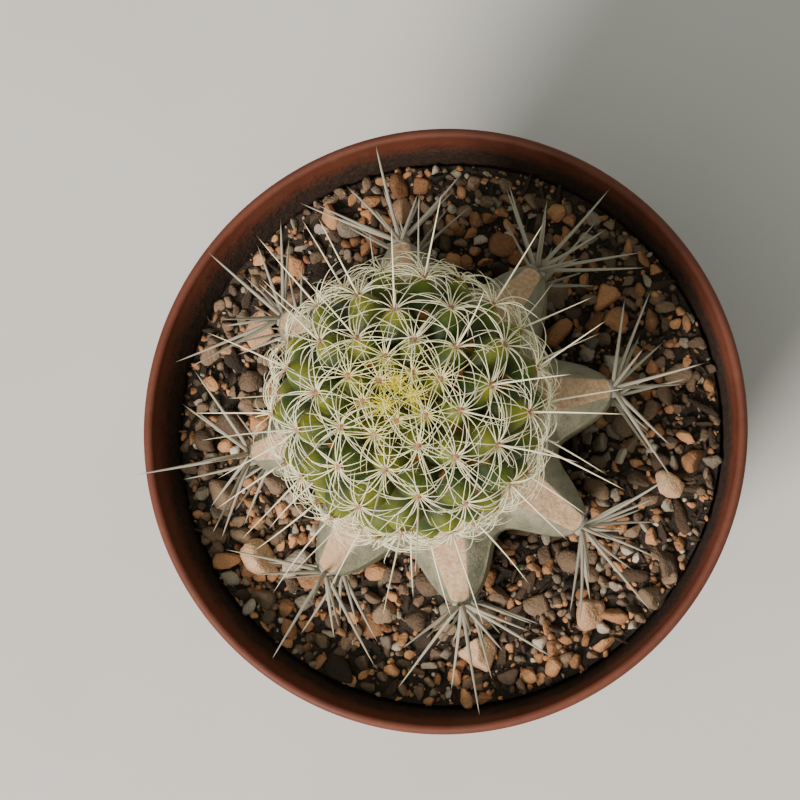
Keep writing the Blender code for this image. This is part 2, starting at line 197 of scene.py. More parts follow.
class Shape:
    """Points and faces gathered into one mesh, each lot with its own material and values."""

    def __init__(self):
        self.points = []
        self.faces = []
        self.slots = []
        self.values = {}
        self.count = 0

    def add(self, points, faces, slot=0, **values):
        points = np.asarray(points, float).reshape(-1, 3)
        self.points.append(points)
        self.faces += [tuple(int(corner) + self.count for corner in face) for face in faces]
        self.slots += [slot] * len(faces)
        for name, value in values.items():
            spread = np.broadcast_to(np.asarray(value, float), (len(points),))
            self.values.setdefault(name, []).append((self.count, spread))
        self.count += len(points)

    def make(self, name, looks, nodes=(), slot=None, smooth_angle=None):
        """The object, riding on its body, standing for the CAD nodes it replaces."""
        data = bpy.data.meshes.new(name)
        data.from_pydata(np.concatenate(self.points).tolist(), [], self.faces)
        for look in looks:
            data.materials.append(look)
        data.polygons.foreach_set("material_index", self.slots)
        for value_name, lots in self.values.items():
            every = np.zeros(self.count, np.float32)
            for start, spread in lots:
                every[start : start + len(spread)] = spread
            data.attributes.new(value_name, "FLOAT", "POINT").data.foreach_set("value", every)
        mesh = bmesh.new()
        mesh.from_mesh(data)
        bmesh.ops.recalc_face_normals(mesh, faces=mesh.faces)
        mesh.to_mesh(data)
        mesh.free()
        data.shade_smooth()
        if smooth_angle is not None:
            data.set_sharp_from_angle(angle=smooth_angle)
        data.update()
        made = bpy.data.objects.new(name, data)
        bpy.context.scene.collection.objects.link(made)
        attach(made, BODY)
        if nodes:
            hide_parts(*nodes)
        return made


def grid_faces(rings, steps, closed_loop=False):
    """Quads between rings of points, each ring closed on itself."""
    faces = []
    last = rings if closed_loop else rings - 1
    for ring in range(last):
        upper = (ring + 1) % rings
        for step in range(steps):
            after = (step + 1) % steps
            faces.append(
                (ring * steps + step, ring * steps + after, upper * steps + after, upper * steps + step)
            )
    return faces


def turned(profile, steps):
    """Points of a profile of (radius, height) pairs turned round the Z axis, ring by ring."""
    angle = TAU * np.arange(steps) / steps
    radius = np.array([point[0] for point in profile])[:, None]
    height = np.array([point[1] for point in profile])[:, None]
    level = height + 0 * angle
    return np.stack([radius * np.cos(angle), radius * np.sin(angle), level], axis=-1)


def tapering(paths, thickness, aside, sides):
    """Closed tubes along paths, each ending in a point.

    paths is (tubes, points, 3), thickness (tubes, points) and aside (tubes, 3), which is a
    direction square to the whole of each path.
    """
    tubes, steps, _ = paths.shape
    along = unit(np.gradient(paths, axis=1))
    upward = unit(np.cross(along, aside[:, None, :]))
    across = np.cross(along, upward)
    angle = (TAU * np.arange(sides) / sides)[:, None]
    spread = across[:, :-1, None, :] * np.cos(angle) + upward[:, :-1, None, :] * np.sin(angle)
    rings = paths[:, :-1, None, :] + thickness[:, :-1, None, None] * spread
    points = np.concatenate([rings.reshape(tubes, -1, 3), paths[:, -1:, :]], axis=1)
    block = (steps - 1) * sides + 1
    one = grid_faces(steps - 1, sides)
    tip = block - 1
    top = (steps - 2) * sides
    one += [(top + step, top + (step + 1) % sides, tip) for step in range(sides)]
    one.append(tuple(reversed(range(sides))))
    faces = [tuple(corner + tube * block for corner in face) for tube in range(tubes) for face in one]
    along_share = np.repeat(np.linspace(0, 1, steps)[:-1], sides)
    share = np.tile(np.append(along_share, 1.0), tubes)
    return points.reshape(-1, 3), faces, share


def ball(detail):
    """(points, faces) of an even triangulated sphere of radius 1."""
    mesh = bmesh.new()
    bmesh.ops.create_icosphere(mesh, subdivisions=detail, radius=1)
    points = np.array([corner.co for corner in mesh.verts])
    faces = [tuple(corner.index for corner in face.verts) for face in mesh.faces]
    mesh.free()
    return points, faces


# Materials


class Look:
    """A node material built around one Principled shader."""

    def __init__(self, name, roughness, **sockets):
        self.material = bpy.data.materials.new(name)
        self.material.use_nodes = True
        self.tree = self.material.node_tree
        self.shader = self.tree.nodes["Principled BSDF"]
        self.shader.inputs["Roughness"].default_value = roughness
        for socket, value in sockets.items():
            self.shader.inputs[socket.replace("_", " ")].default_value = value
        self.place = self.add("TexCoord").outputs["Object"]

    def feed(self, socket, value):
        if isinstance(value, bpy.types.NodeSocket):
            self.tree.links.new(value, socket)
        else:
            socket.default_value = value

    def add(self, kind, **settings):
        node = self.tree.nodes.new("ShaderNode" + kind)
        for name, value in settings.items():
            setattr(node, name, value)
        return node

    def value(self, name):
        """A value stored on the mesh's points."""
        return self.add("Attribute", attribute_name=name).outputs["Fac"]

    def noise(self, size, detail=3.0, roughness=0.55):
        """Soft noise whose grains are about size metres across."""
        node = self.add("TexNoise")
        node.inputs["Scale"].default_value = 1 / size
        node.inputs["Detail"].default_value = detail
        node.inputs["Roughness"].default_value = roughness
        self.tree.links.new(self.place, node.inputs["Vector"])
        return node.outputs["Fac"]

    def height(self):
        """The height over the floor, in metres."""
        node = self.add("SeparateXYZ")
        self.tree.links.new(self.place, node.inputs["Vector"])
        return node.outputs["Z"]

    def cells(self, size):
        """The distance from the middle of cells about size metres across."""
        node = self.add("TexVoronoi")
        node.inputs["Scale"].default_value = 1 / size
        self.tree.links.new(self.place, node.inputs["Vector"])
        return node.outputs["Distance"]

    def ramp(self, factor, *stops):
        """A colour read from stops of (position, colour)."""
        node = self.add("ValToRGB")
        band = node.color_ramp.elements
        while len(band) < len(stops):
            band.new(0.5)
        for element, (position, colour) in zip(band, stops):
            element.position = position
            element.color = (*colour, 1)
        self.feed(node.inputs["Fac"], factor)
        return node.outputs["Color"]

    def grey(self, factor, low, high):
        """factor stretched so that low becomes 0 and high becomes 1."""
        node = self.add("MapRange", clamp=True)
        self.feed(node.inputs["Value"], factor)
        node.inputs["From Min"].default_value = low
        node.inputs["From Max"].default_value = high
        return node.outputs["Result"]

    def mix(self, factor, first, second):
        node = self.add("Mix", data_type="RGBA")
        self.feed(node.inputs[0], factor)
        self.feed(node.inputs[6], first if not isinstance(first, tuple) else (*first, 1))
        self.feed(node.inputs[7], second if not isinstance(second, tuple) else (*second, 1))
        return node.outputs[2]

    def maths(self, operation, first, second=0.0):
        node = self.add("Math", operation=operation)
        self.feed(node.inputs[0], first)
        self.feed(node.inputs[1], second)
        return node.outputs[0]

    def colour(self, socket):
        self.feed(self.shader.inputs["Base Color"], socket)

    def rough(self, factor, low, high):
        """Roughness from low where factor is 0 to high where it is 1."""
        node = self.add("MapRange", clamp=True)
        self.feed(node.inputs["Value"], factor)
        node.inputs["To Min"].default_value = low
        node.inputs["To Max"].default_value = high
        self.feed(self.shader.inputs["Roughness"], node.outputs["Result"])

    def bump(self, *layers):
        """Bumps from layers of (height, distance in metres)."""
        normal = None
        for height, distance in layers:
            node = self.add("Bump")
            node.inputs["Distance"].default_value = distance
            self.feed(node.inputs["Height"], height)
            if normal:
                self.tree.links.new(normal, node.inputs["Normal"])
            normal = node.outputs["Normal"]
        self.feed(self.shader.inputs["Normal"], normal)


def pot_look():
    """Satin moulded plastic the colour of terracotta, dusty and lightly scuffed, with a dark film low on
    the inner wall that is partly caked mix and partly painted shade.
    """
    look = Look("terracotta_plastic", 0.5, Specular_IOR_Level=0.3)
    cloudy = look.noise(9 * MM, 4)
    dust = look.grey(look.noise(1.3 * MM, 5, 0.7), 0.52, 0.78)
    base = look.ramp(cloudy, (0.3, (0.105, 0.027, 0.014)), (0.7, (0.145, 0.040, 0.021)))
    dusty = look.mix(look.maths("MULTIPLY", dust, 0.20), base, (0.20, 0.115, 0.080))
    ragged = look.maths("ADD", look.height(), look.maths("MULTIPLY", look.noise(2.5 * MM, 5, 0.65), 5 * MM))
    # The lower inner wall turns near black: partly the mix caked on it, partly painted shade inside the
    # pot.
    film_and_shade = look.maths("MULTIPLY", look.value("inside"), look.grey(ragged, SHADED_FILM_GONE_Z, SHADED_FILM_WHOLE_Z))
    crumbs = look.noise(0.9 * MM, 5, 0.7)
    caked_and_shaded = look.ramp(
        crumbs, (0.35, (0.014, 0.009, 0.006)), (0.55, (0.030, 0.019, 0.012)), (0.75, (0.075, 0.050, 0.032))
    )
    look.colour(look.mix(look.maths("MULTIPLY", film_and_shade, 0.90), dusty, caked_and_shaded))
    look.rough(look.maths("MAXIMUM", cloudy, film_and_shade), 0.42, 0.85)
    look.bump(
        (look.noise(0.35 * MM, 3), 0.00003),
        (look.noise(4 * MM, 2), 0.00006),
        (look.maths("MULTIPLY", crumbs, film_and_shade), 0.0005),
    )
    return look.material


def soil_look():
    """Damp dark peat, with paler dry crumbs."""
    look = Look("potting_mix", 0.95)
    crumbs = look.noise(1.2 * MM, 6, 0.7)
    fleck = look.grey(look.cells(1.6 * MM), 0.05, 0.45)
    base = look.ramp(
        crumbs, (0.30, (0.013, 0.009, 0.006)), (0.52, (0.052, 0.034, 0.021)), (0.74, (0.130, 0.088, 0.056))
    )
    look.colour(look.mix(look.maths("MULTIPLY", fleck, 0.35), base, (0.030, 0.019, 0.012)))
    look.bump((crumbs, 0.0008), (look.noise(0.3 * MM, 4), 0.0002))
    return look.material


def grit_look(name, dark, light):
    """Porous mineral grit: tint says how pale each grain is."""
    look = Look(name, 0.9)
    tint = look.value("tint")
    grain = look.noise(0.5 * MM, 5, 0.65)
    shade = look.maths("ADD", look.maths("MULTIPLY", tint, 0.7), look.maths("MULTIPLY", grain, 0.5))
    base = look.ramp(shade, (0.15, dark), (0.95, light))
    pores = look.grey(look.cells(0.45 * MM), 0.0, 0.30)
    look.colour(look.mix(pores, look.mix(0.55, base, dark), base))
    look.bump((grain, 0.00018), (look.cells(0.4 * MM), 0.00010))
    return look.material


def stock_look():
    """Grey-green waxy skin, with tan cork where the shoulders were cut and pale bloom near it."""
    look = Look("rootstock_skin", 0.6, Subsurface_Weight=0.06, Subsurface_Scale=0.001)
    mottle = look.noise(2.6 * MM, 5, 0.6)
    skin = look.ramp(
        mottle, (0.25, (0.050, 0.056, 0.027)), (0.55, (0.092, 0.097, 0.052)), (0.80, (0.155, 0.150, 0.090))
    )
    bloom = look.maths("MULTIPLY", look.value("bloom"), look.grey(look.noise(1.6 * MM, 3), 0.15, 0.55))
    waxy = look.mix(bloom, skin, (0.42, 0.36, 0.25))
    fibre = look.noise(0.55 * MM, 5, 0.7)
    stain = look.noise(3.2 * MM, 3)
    cork = look.ramp(
        fibre, (0.28, (0.31, 0.180, 0.098)), (0.52, (0.60, 0.390, 0.235)), (0.75, (0.82, 0.60, 0.40))
    )
    cork = look.mix(look.grey(stain, 0.35, 0.75), cork, (0.52, 0.320, 0.180))
    ragged = look.maths("ADD", look.value("cork"), look.maths("MULTIPLY", look.noise(0.7 * MM, 3), 0.35))
    corky = look.grey(ragged, 0.55, 0.75)
    look.colour(look.mix(corky, waxy, cork))
    look.rough(corky, 0.52, 0.88)
    look.bump((fibre, 0.00022), (mottle, 0.00012), (look.noise(0.2 * MM, 2), 0.00003))
    return look.material


def scion_look():
    """Green flesh, yellower on the tubercles and in the crown, and darkest in the furrows, where the dark
    is painted shade.
    """
    look = Look("scion_skin", 0.5, Subsurface_Weight=0.08, Subsurface_Scale=0.001, Specular_IOR_Level=0.32)
    height = look.value("height")
    mottle = look.noise(1.9 * MM, 4)
    wander = look.maths("ADD", height, look.maths("MULTIPLY", look.maths("SUBTRACT", mottle, 0.5), 0.30))
    # Both ramps go from near black in the furrows, painted shade between the tubercles, to the flesh's own
    # yellow-green on the tubercles.
    base = look.ramp(
        wander,
        (0.08, (0.003, 0.006, 0.001)),
        (0.42, (0.012, 0.029, 0.003)),
        (0.74, (0.036, 0.066, 0.005)),
        (1.00, (0.110, 0.142, 0.013)),
    )
    ripe_and_furrow_shade = look.ramp(
        wander, (0.10, (0.030, 0.032, 0.002)), (0.55, (0.100, 0.110, 0.007)), (1.00, (0.300, 0.280, 0.020))
    )
    patchy = look.grey(look.noise(6.5 * MM, 2), 0.42, 0.62)
    yellow = look.maths("MAXIMUM", look.maths("MULTIPLY", patchy, 0.70), look.value("young"))
    flesh = look.mix(yellow, base, ripe_and_furrow_shade)
    spots = look.grey(look.noise(2.3 * MM, 2), 0.60, 0.68)
    fleck = look.maths("MULTIPLY", spots, look.grey(height, 0.52, 0.30))
    look.colour(look.mix(look.maths("MULTIPLY", fleck, 0.75), flesh, (0.36, 0.115, 0.020)))
    look.rough(mottle, 0.46, 0.66)
    look.bump((mottle, 0.00012), (look.noise(0.22 * MM, 3), 0.00003))
    return look.material


def spine_look(name, base, tip, root, roughness=0.42):
    """Dry, smooth spine: share runs from 0 at its base to 1 at its tip, and tone varies by spine."""
    look = Look(name, roughness, Subsurface_Weight=0.08, Subsurface_Scale=0.0004)
    share = look.value("share")
    tone = look.value("tone")
    length = look.ramp(share, (0.0, root), (0.14, base), (0.80, base), (1.0, tip))
    streak = look.maths("MULTIPLY", look.noise(0.8 * MM, 2), 0.35)
    look.colour(look.mix(look.maths("ADD", look.maths("MULTIPLY", tone, 0.25), streak), length, base))
    return look.material


def felt_look(name, light, dark):
    """Short matted wool on an areole."""
    look = Look(name, 0.95, Sheen_Weight=0.2, Sheen_Roughness=0.5)
    fuzz = look.noise(0.22 * MM, 4, 0.7)
    look.colour(look.ramp(fuzz, (0.3, dark), (0.7, light)))
    look.bump((fuzz, 0.00010))
    return look.material


# Pot


def inner_radius(height):
    """The radius of the pot's inner wall at a height within its collar."""
    share = (height - COLLAR_Z - COLLAR_STEP) / (COLLAR_HEIGHT - COLLAR_STEP)
    return blend(COLLAR_LOW - WALL, RIM_RADIUS - LIP_WIDTH, share)


def pot_profile():
    """(radius, height) from the middle hole's lower edge, up the outside and down the inside.

    The second list says which of the points lie inside the pot.
    """
    roll = LIP_WIDTH / 2
    round_off = 0.35 * MM
    arc = [
        (RIM_RADIUS - roll + roll * math.cos(turn), POT_HEIGHT - roll + roll * math.sin(turn))
        for turn in np.linspace(0, math.pi, 17)
    ]
    outside = [
        (DRAIN_RADIUS, FOOT_HEIGHT),
        (BASE_RADIUS - FOOT_WIDTH - round_off, FOOT_HEIGHT),
        (BASE_RADIUS - FOOT_WIDTH, FOOT_HEIGHT - round_off),
        (BASE_RADIUS - FOOT_WIDTH, round_off),
        (BASE_RADIUS - FOOT_WIDTH + round_off, 0),
        (BASE_RADIUS - round_off, 0),
        (BASE_RADIUS, round_off),
    ]
    wall = [
        (blend(BASE_RADIUS, SHOULDER, share), blend(round_off, COLLAR_Z - round_off, share))
        for share in np.linspace(0.05, 1, 14)
    ]
    collar = [
        (SHOULDER + round_off / 2, COLLAR_Z + round_off / 2),
        (COLLAR_LOW - round_off, COLLAR_Z + COLLAR_STEP - round_off),
        (COLLAR_LOW, COLLAR_Z + COLLAR_STEP + round_off),
        (blend(COLLAR_LOW, COLLAR_TOP, 0.5), blend(COLLAR_Z + COLLAR_STEP, POT_HEIGHT - LIP_WIDTH, 0.5)),
        (COLLAR_TOP, POT_HEIGHT - LIP_WIDTH - round_off),
        (COLLAR_TOP + LIP_OVERHANG * 0.7, POT_HEIGHT - LIP_WIDTH),
    ]
    collar_levels = np.linspace(POT_HEIGHT - LIP_WIDTH, COLLAR_Z + COLLAR_STEP, 9)
    inside = [(inner_radius(level), level) for level in collar_levels] + [
        (SHOULDER - WALL, COLLAR_Z),
        (BASE_RADIUS - WALL, POT_FLOOR),
        (DRAIN_RADIUS, POT_FLOOR),
    ]
    outer = outside + wall + collar + arc
    return outer + inside, np.arange(len(outer) + len(inside)) >= len(outer)


def cut(target, cutter):
    """Cuts one object out of another for good, and removes the cutter."""
    change = target.modifiers.new("cut", "BOOLEAN")
    change.object = cutter
    change.solver = "EXACT"
    graph = bpy.context.evaluated_depsgraph_get()
    data = bpy.data.meshes.new_from_object(target.evaluated_get(graph))
    target.modifiers.clear()
    target.data = data
    bpy.data.objects.remove(cutter, do_unlink=True)


def make_pot():
    profile, inside = pot_profile()
    shape = Shape()
    faces = grid_faces(len(profile), POT_STEPS, closed_loop=True)
    shape.add(turned(profile, POT_STEPS), faces, inside=np.repeat(inside, POT_STEPS))
    pot = shape.make("pot_shell", [pot_look()], ["pot"], "pot_plastic", math.radians(50))
    pins = bmesh.new()
    for number in range(DRAIN_COUNT):
        turn = TAU * number / DRAIN_COUNT + math.pi / POT_STEPS
        made = bmesh.ops.create_cone(
            pins,
            cap_ends=True,
            segments=DRAIN_STEPS,
            radius1=DRAIN_RADIUS,
            radius2=DRAIN_RADIUS,
            depth=4 * POT_FLOOR,
        )
        across = (DRAIN_RING_RADIUS * math.cos(turn), DRAIN_RING_RADIUS * math.sin(turn), POT_FLOOR / 2)
        bmesh.ops.translate(pins, verts=made["verts"], vec=across)
    data = bpy.data.meshes.new("pins")
    pins.to_mesh(data)
    pins.free()
    cutter = bpy.data.objects.new("pins", data)
    bpy.context.scene.collection.objects.link(cutter)
    cut(pot, cutter)


# Potting mix and grit


def soil_level(x, y):
    """The height of the mix's surface: crumbs on low mounds, heaped a little against the wall."""
    mounds = noise.noise(Vector((x, y, 0)) / (9 * MM)) * 0.9 * MM
    mounds += HEAP_RISE * float(smooth((math.hypot(x, y) - HEAP_START) / HEAP_WIDTH))
    crumbs = noise.fractal(Vector((x, y, 3)) / (2.4 * MM), 1.0, 2.0, 4) * 0.55 * MM
    return SOIL_Z + mounds + crumbs


def make_soil():
    steps = 260
    rings = 80
    edge = inner_radius(SOIL_Z) - MIX_GAP
    angle = TAU * np.arange(steps) / steps
    lots = []
    for share in np.linspace(0, 1, rings):
        radius = blend(edge, MIX_HOLE, share)
        x, y = radius * np.cos(angle), radius * np.sin(angle)
        lots.append(np.stack([x, y, [soil_level(*spot) for spot in zip(x, y)]], axis=-1))
    below = [
        (MIX_HOLE, SOIL_Z - 5 * MM),
        (MIX_HOLE / 2, SOIL_LOW.z),
        (BASE_RADIUS - WALL - MIX_GAP, SOIL_LOW.z),
        (SHOULDER - WALL - MIX_GAP, COLLAR_Z + MIX_GAP),
        (COLLAR_LOW - WALL - MIX_GAP, COLLAR_Z + COLLAR_STEP + MIX_GAP),
    ]
    points = np.concatenate([np.array(lots), turned(below, steps)])
    shape = Shape()
    shape.add(points, grid_faces(rings + len(below), steps, closed_loop=True))
    shape.make("potting_mix", [soil_look()], ["potting_soil"], "potting_mix")


BALLS = {detail: ball(detail) for detail in (2, 3, 4)}


def pebble(chance, detail, facets=9, hardness=20.0):
    """An angular grain of radius about 1: planes cut round a ball, with softened edges."""
    points, faces = BALLS[detail]
    planes = unit(chance.normal(size=(facets, 3)))
    depth = chance.uniform(0.56, 0.95, facets)
    lean = np.clip(points @ planes.T, 0, None) / depth
    reach = (np.sum(lean**hardness, axis=1) + 0.75**hardness) ** (-1 / hardness)
    shift = Vector(chance.uniform(0, 50, 3))
    grain = np.array([noise.fractal(Vector(point) * 1.7 + shift, 1.0, 2.0, 3) for point in points])
    return points * (reach * (1 + GRAIN_ROUGHNESS * grain))[:, None], faces


def tumble(chance):
    """A random turn, as a 3 by 3 matrix."""
    matrix, _ = np.linalg.qr(chance.normal(size=(3, 3)))
    return matrix * np.sign(np.linalg.det(matrix))


def scatter(chance, count, size_low, size_high, taken, tight):
    """Spots on the mix for grains of a size range. A larger tight keeps them further apart."""
    spots = []
    tries = 0
    limit = inner_radius(SOIL_Z) + 0.1 * MM
    while len(spots) < count and tries < count * 60:
        tries += 1
        size = blend(size_low, size_high, chance.random() ** 1.6)
        turn = chance.uniform(0, TAU)
        reach = math.sqrt(blend(GRIT_INNER_REACH**2, (limit - size) ** 2, chance.random()))
        x, y = reach * math.cos(turn), reach * math.sin(turn)
        crowded = any(
            (x - other[0]) ** 2 + (y - other[1]) ** 2 < (tight * (size + other[2])) ** 2 for other in taken
        )
        if crowded or reach < stock_reach(turn, SOIL_Z) + size * 0.6:
            continue
        taken.append((x, y, size))
        spots.append((x, y, size))
    return spots


def make_grit():
    """Loose grains of five kinds, bits of bark among them, the larger ones placed first."""
    chance = np.random.default_rng(7)
    shapes = {name: Shape() for name in GRIT}
    taken = [(*stone_spot(name)[:2], stone_size(name)) for name in CAD_STONES]
    names = list(GRIT)
    for count, low, high, detail, tight in GRIT_LOTS:
        for x, y, size in scatter(chance, count, low, high, taken, tight):
            name = names[chance.choice(len(names), p=GRIT_SHARE)]
            points, faces = pebble(chance, detail)
            flat = np.array([1, chance.uniform(0.65, 1.0), chance.uniform(0.45, 0.8)])
            if name == "bark_bits":
                flat = np.array([1.35, chance.uniform(0.45, 0.7), chance.uniform(0.22, 0.4)])
            grown = (points * flat * size) @ tumble(chance).T
            level = soil_level(x, y) + size * chance.uniform(0.10, 0.45)
            shapes[name].add(grown + (x, y, level), faces, tint=chance.random())
    for name, (dark, light) in GRIT.items():
        slot = "potting_mix" if name == "bark_bits" else "grit"
        shapes[name].make(name, [grit_look(name, dark, light)], (), slot)


def stone_spot(name):
    low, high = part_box(name)
    return (low + high) / 2


def stone_size(name):
    low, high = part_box(name)
    return (high.x - low.x + high.y - low.y) / 4


def make_stones():
    """The larger loose stones, each where its CAD solid lies."""
    chance = np.random.default_rng(21)
    look = grit_look("grit_stone", (0.30, 0.150, 0.070), (0.80, 0.50, 0.29))
    for name in CAD_STONES:
        middle, size = stone_spot(name), stone_size(name)
        points, faces = pebble(chance, 4, facets=8, hardness=16)
        grown = (points * (1.06, 0.95, 0.72) * size) @ tumble(chance).T
        spot = np.array((middle.x, middle.y, middle.z - STONE_SUNK))
        shape = Shape()
        shape.add(grown + spot, faces, tint=chance.uniform(0.3, 0.9))
        shape.make(name + "_rough", [look], [name], "grit")


# Rootstock


def rib_offset(angle):
    """The angle from the nearest rib's crest."""
    return (angle - FIRST_RIB + RIB_PITCH / 2) % RIB_PITCH - RIB_PITCH / 2


def stock_outline(angle):
    """The stem's radius at its shoulder: a rounded fin at each rib and a wide hollow between."""
    turn = np.abs(rib_offset(angle)) / (RIB_PITCH / 2)
    fin = np.cos(np.clip(turn, 0, 1) * math.pi / 2) ** 2.2
    return VALLEY_RADIUS + (CREST_RADIUS - VALLEY_RADIUS) * fin


def stock_reach(angle, height):
    """The stem's radius at a height: a little narrower at the mix."""
    share = np.clip((height - SOIL_Z) / (GRAFT_Z - VALLEY_EDGE_DROP - SOIL_Z), 0, 1)
    return stock_outline(angle) - STOCK_NARROWING * (1 - np.sin(share * math.pi / 2))


def stock_top(radius, angle):
    """(height, how corky) of the stem's top: flat slanting cuts on the ribs, domed hollows between."""
    offset = rib_offset(angle)
    across = np.abs(radius * np.sin(offset))
    along = radius * np.cos(offset)
    plane = GRAFT_Z - (along - GRAFT_RADIUS) * math.tan(CUT_SLOPE)
    reach = np.clip((along - GRAFT_RADIUS) / (CREST_RADIUS - GRAFT_RADIUS), 0, 1)
    half = CUT_HALF_WIDTH - CUT_TAPER * reach
    flank = plane - np.clip(across - half, 0, None) * math.tan(FLANK_SLOPE)
    out = np.clip((radius - GRAFT_RADIUS) / (VALLEY_RADIUS - GRAFT_RADIUS), 0, None)
    dome = GRAFT_Z - VALLEY_EDGE_DROP * (1 - np.sqrt(np.clip(1 - np.clip(out, 0, 1) ** 2, 0, 1)))
    dome -= np.clip(out - 1, 0, None) * 6 * MM
    height = np.maximum(flank, dome)
    height = np.where(across < half, plane, height)
    cork = smooth((half + 0.35 * MM - across) / (0.7 * MM))
    return height, cork


def make_rootstock():
    """The stem: its ribbed wall from under the mix up, then its cut and domed top, ring by ring."""
    steps = RIBS * STEPS_PER_RIB
    angle = TAU * np.arange(steps) / steps + FIRST_RIB
    edge = stock_outline(angle)
    rings, cork, bloom = [], [], []
    edge_z = stock_top(edge, angle)[0]
    for share in np.linspace(0, 1, WALL_RINGS):
        height = blend(SOIL_Z - 4 * MM, edge_z, share)
        radius = stock_reach(angle, height)
        radius = blend(radius, edge, smooth((share - 0.7) / 0.3))
        crest = np.cos(rib_offset(angle) * RIBS / 2) ** 12
        radius = radius + crest * 0.7 * MM * np.exp(-(((height - LOW_AREOLE_Z) / (2.6 * MM)) ** 2))
        wrinkle = [
            0.22 * MM * noise.noise(Vector((math.cos(turn) * 3, math.sin(turn) * 3, level / (3.2 * MM))))
            for turn, level in zip(angle, height)
        ]
        radius = radius + np.array(wrinkle)
        rings.append(np.stack([radius * np.cos(angle), radius * np.sin(angle), height], axis=-1))
        cork.append(np.zeros(steps))
        bloom.append(np.full(steps, 0.35 * share))
    for share in np.linspace(0, 1, TOP_RINGS)[1:]:
        radius = blend(edge, GRAFT_RADIUS * 0.96, share)
        height, corky = stock_top(radius, angle)
        worn = [
            0.16 * MM * noise.fractal(Vector((x, y, 0)) / (1.8 * MM), 1.0, 2.0, 3)
            for x, y in zip(radius * np.cos(angle), radius * np.sin(angle))
        ]
        height = height + np.array(worn) - 0.12 * MM
        rings.append(np.stack([radius * np.cos(angle), radius * np.sin(angle), height], axis=-1))
        cork.append(corky)
        bloom.append(0.35 + 0.65 * smooth(np.full(steps, share * 1.6)))
    points = np.concatenate(rings)
    faces = grid_faces(len(rings), steps)
    faces.append(tuple(reversed(range(steps))))
    last = (len(rings) - 1) * steps
    faces.append(tuple(last + step for step in range(steps)))
    shape = Shape()
    shape.add(points, faces, cork=np.concatenate(cork), bloom=np.concatenate(bloom))
    shape.make("rootstock_stem", [stock_look()], ["rootstock"], "rootstock_skin", math.radians(55))


# Scion


def areole_ways(numbers):
    """Unit-sphere directions of areoles, counted from the crown down the spiral."""
    tilt = FIRST_TILT + numbers * TILT_STEP
    turn = SPIRAL_START + numbers * GOLDEN_ANGLE
    return np.stack([np.sin(tilt) * np.cos(turn), np.sin(tilt) * np.sin(turn), np.cos(tilt)], axis=-1)


def scion_girth(ways):
    """The body's own radius in a direction: drawn in a little from the widest ring of areoles down."""
    tilt = np.arccos(np.clip(ways[..., 2], -1, 1))
    return SCION_RADIUS * (1 - SCION_WAIST * smooth((tilt - 0.95) / 0.75))


def scion_tall(ways):
    drop = SCION_DROP / math.sqrt(1 - (SCION_FOOT_RADIUS / (SCION_RADIUS * (1 - SCION_WAIST))) ** 2)
    return np.where(ways[..., 2] > 0, SCION_RISE, drop)


def scion_point(ways):
    """The body's surface, without its tubercles, in unit-sphere directions."""
    girth, tall = scion_girth(ways), scion_tall(ways)
    return np.stack([ways[..., 0] * girth, ways[..., 1] * girth, ways[..., 2] * tall], axis=-1)


def scion_normal(ways):
    girth, tall = scion_girth(ways), scion_tall(ways)
    return unit(np.stack([ways[..., 0] / girth, ways[..., 1] / girth, ways[..., 2] / tall], axis=-1))


def growth(ways):
    """How far an areole has grown, as the spiral spreads it: fully from the widest ring down."""
    across = np.hypot(ways[..., 0], ways[..., 1])
    return np.where(ways[..., 2] < 0, 1.0, np.clip(np.sqrt(across), YOUNG_GROWTH, 1))


def make_scion():
    """The round body, raised into a tubercle under each areole."""
    steps, rings = 440, 250
    foot_tilt = math.pi - math.asin(SCION_FOOT_RADIUS / (SCION_RADIUS * (1 - SCION_WAIST)))
    tilt = np.linspace(foot_tilt, 0.004, rings)[:, None]
    turn = TAU * np.arange(steps) / steps
    ways = np.stack(
        [np.sin(tilt) * np.cos(turn), np.sin(tilt) * np.sin(turn), np.cos(tilt) + 0 * turn], axis=-1
    )
    areoles = areole_ways(np.arange(AREOLES, dtype=float))
    seats, grown = scion_point(areoles), growth(areoles)
    flat = scion_point(ways).reshape(-1, 3)
    total = np.zeros(len(flat))
    for seat, size in zip(seats, grown):
        away = np.linalg.norm(flat - seat, axis=1) / (TUBERCLE_WIDTH * size)
        near = away < 1
        total[near] += (size * (1 - away[near] ** TUBERCLE_CURVE)) ** TUBERCLE_MERGE
    lift = total ** (1 / TUBERCLE_MERGE)
    fade = smooth((foot_tilt - tilt + 0 * turn).reshape(-1) / 0.35)
    points = flat + scion_normal(ways).reshape(-1, 3) * (TUBERCLE_HEIGHT * lift * fade)[:, None]
    points[:, 2] += SCION_Z
    faces = grid_faces(rings, steps)
    faces.append(tuple(reversed(range(steps))))
    last = (rings - 1) * steps
    faces.append(tuple(last + step for step in range(steps)))
    local = np.clip(lift * fade / np.clip(growth(ways).reshape(-1), 0.3, 1), 0, 1)
    young = smooth(1.25 - (tilt + 0 * turn).reshape(-1) / 0.42)
    shape = Shape()
    shape.add(points, faces, height=local, young=young)
    shape.make("scion_body", [scion_look()], ["scion"], "scion_skin")


def frame_at(way):
    """(foot, outward, upward, aside) at an areole, where upward is towards the crown."""
    outward = scion_normal(way)
    foot = scion_point(way) + outward * TUBERCLE_HEIGHT * growth(way) + (0, 0, SCION_Z)
    upward = unit(np.array([0, 0, 1.0]) - outward * outward[2])
    return foot, outward, upward, np.cross(upward, outward)


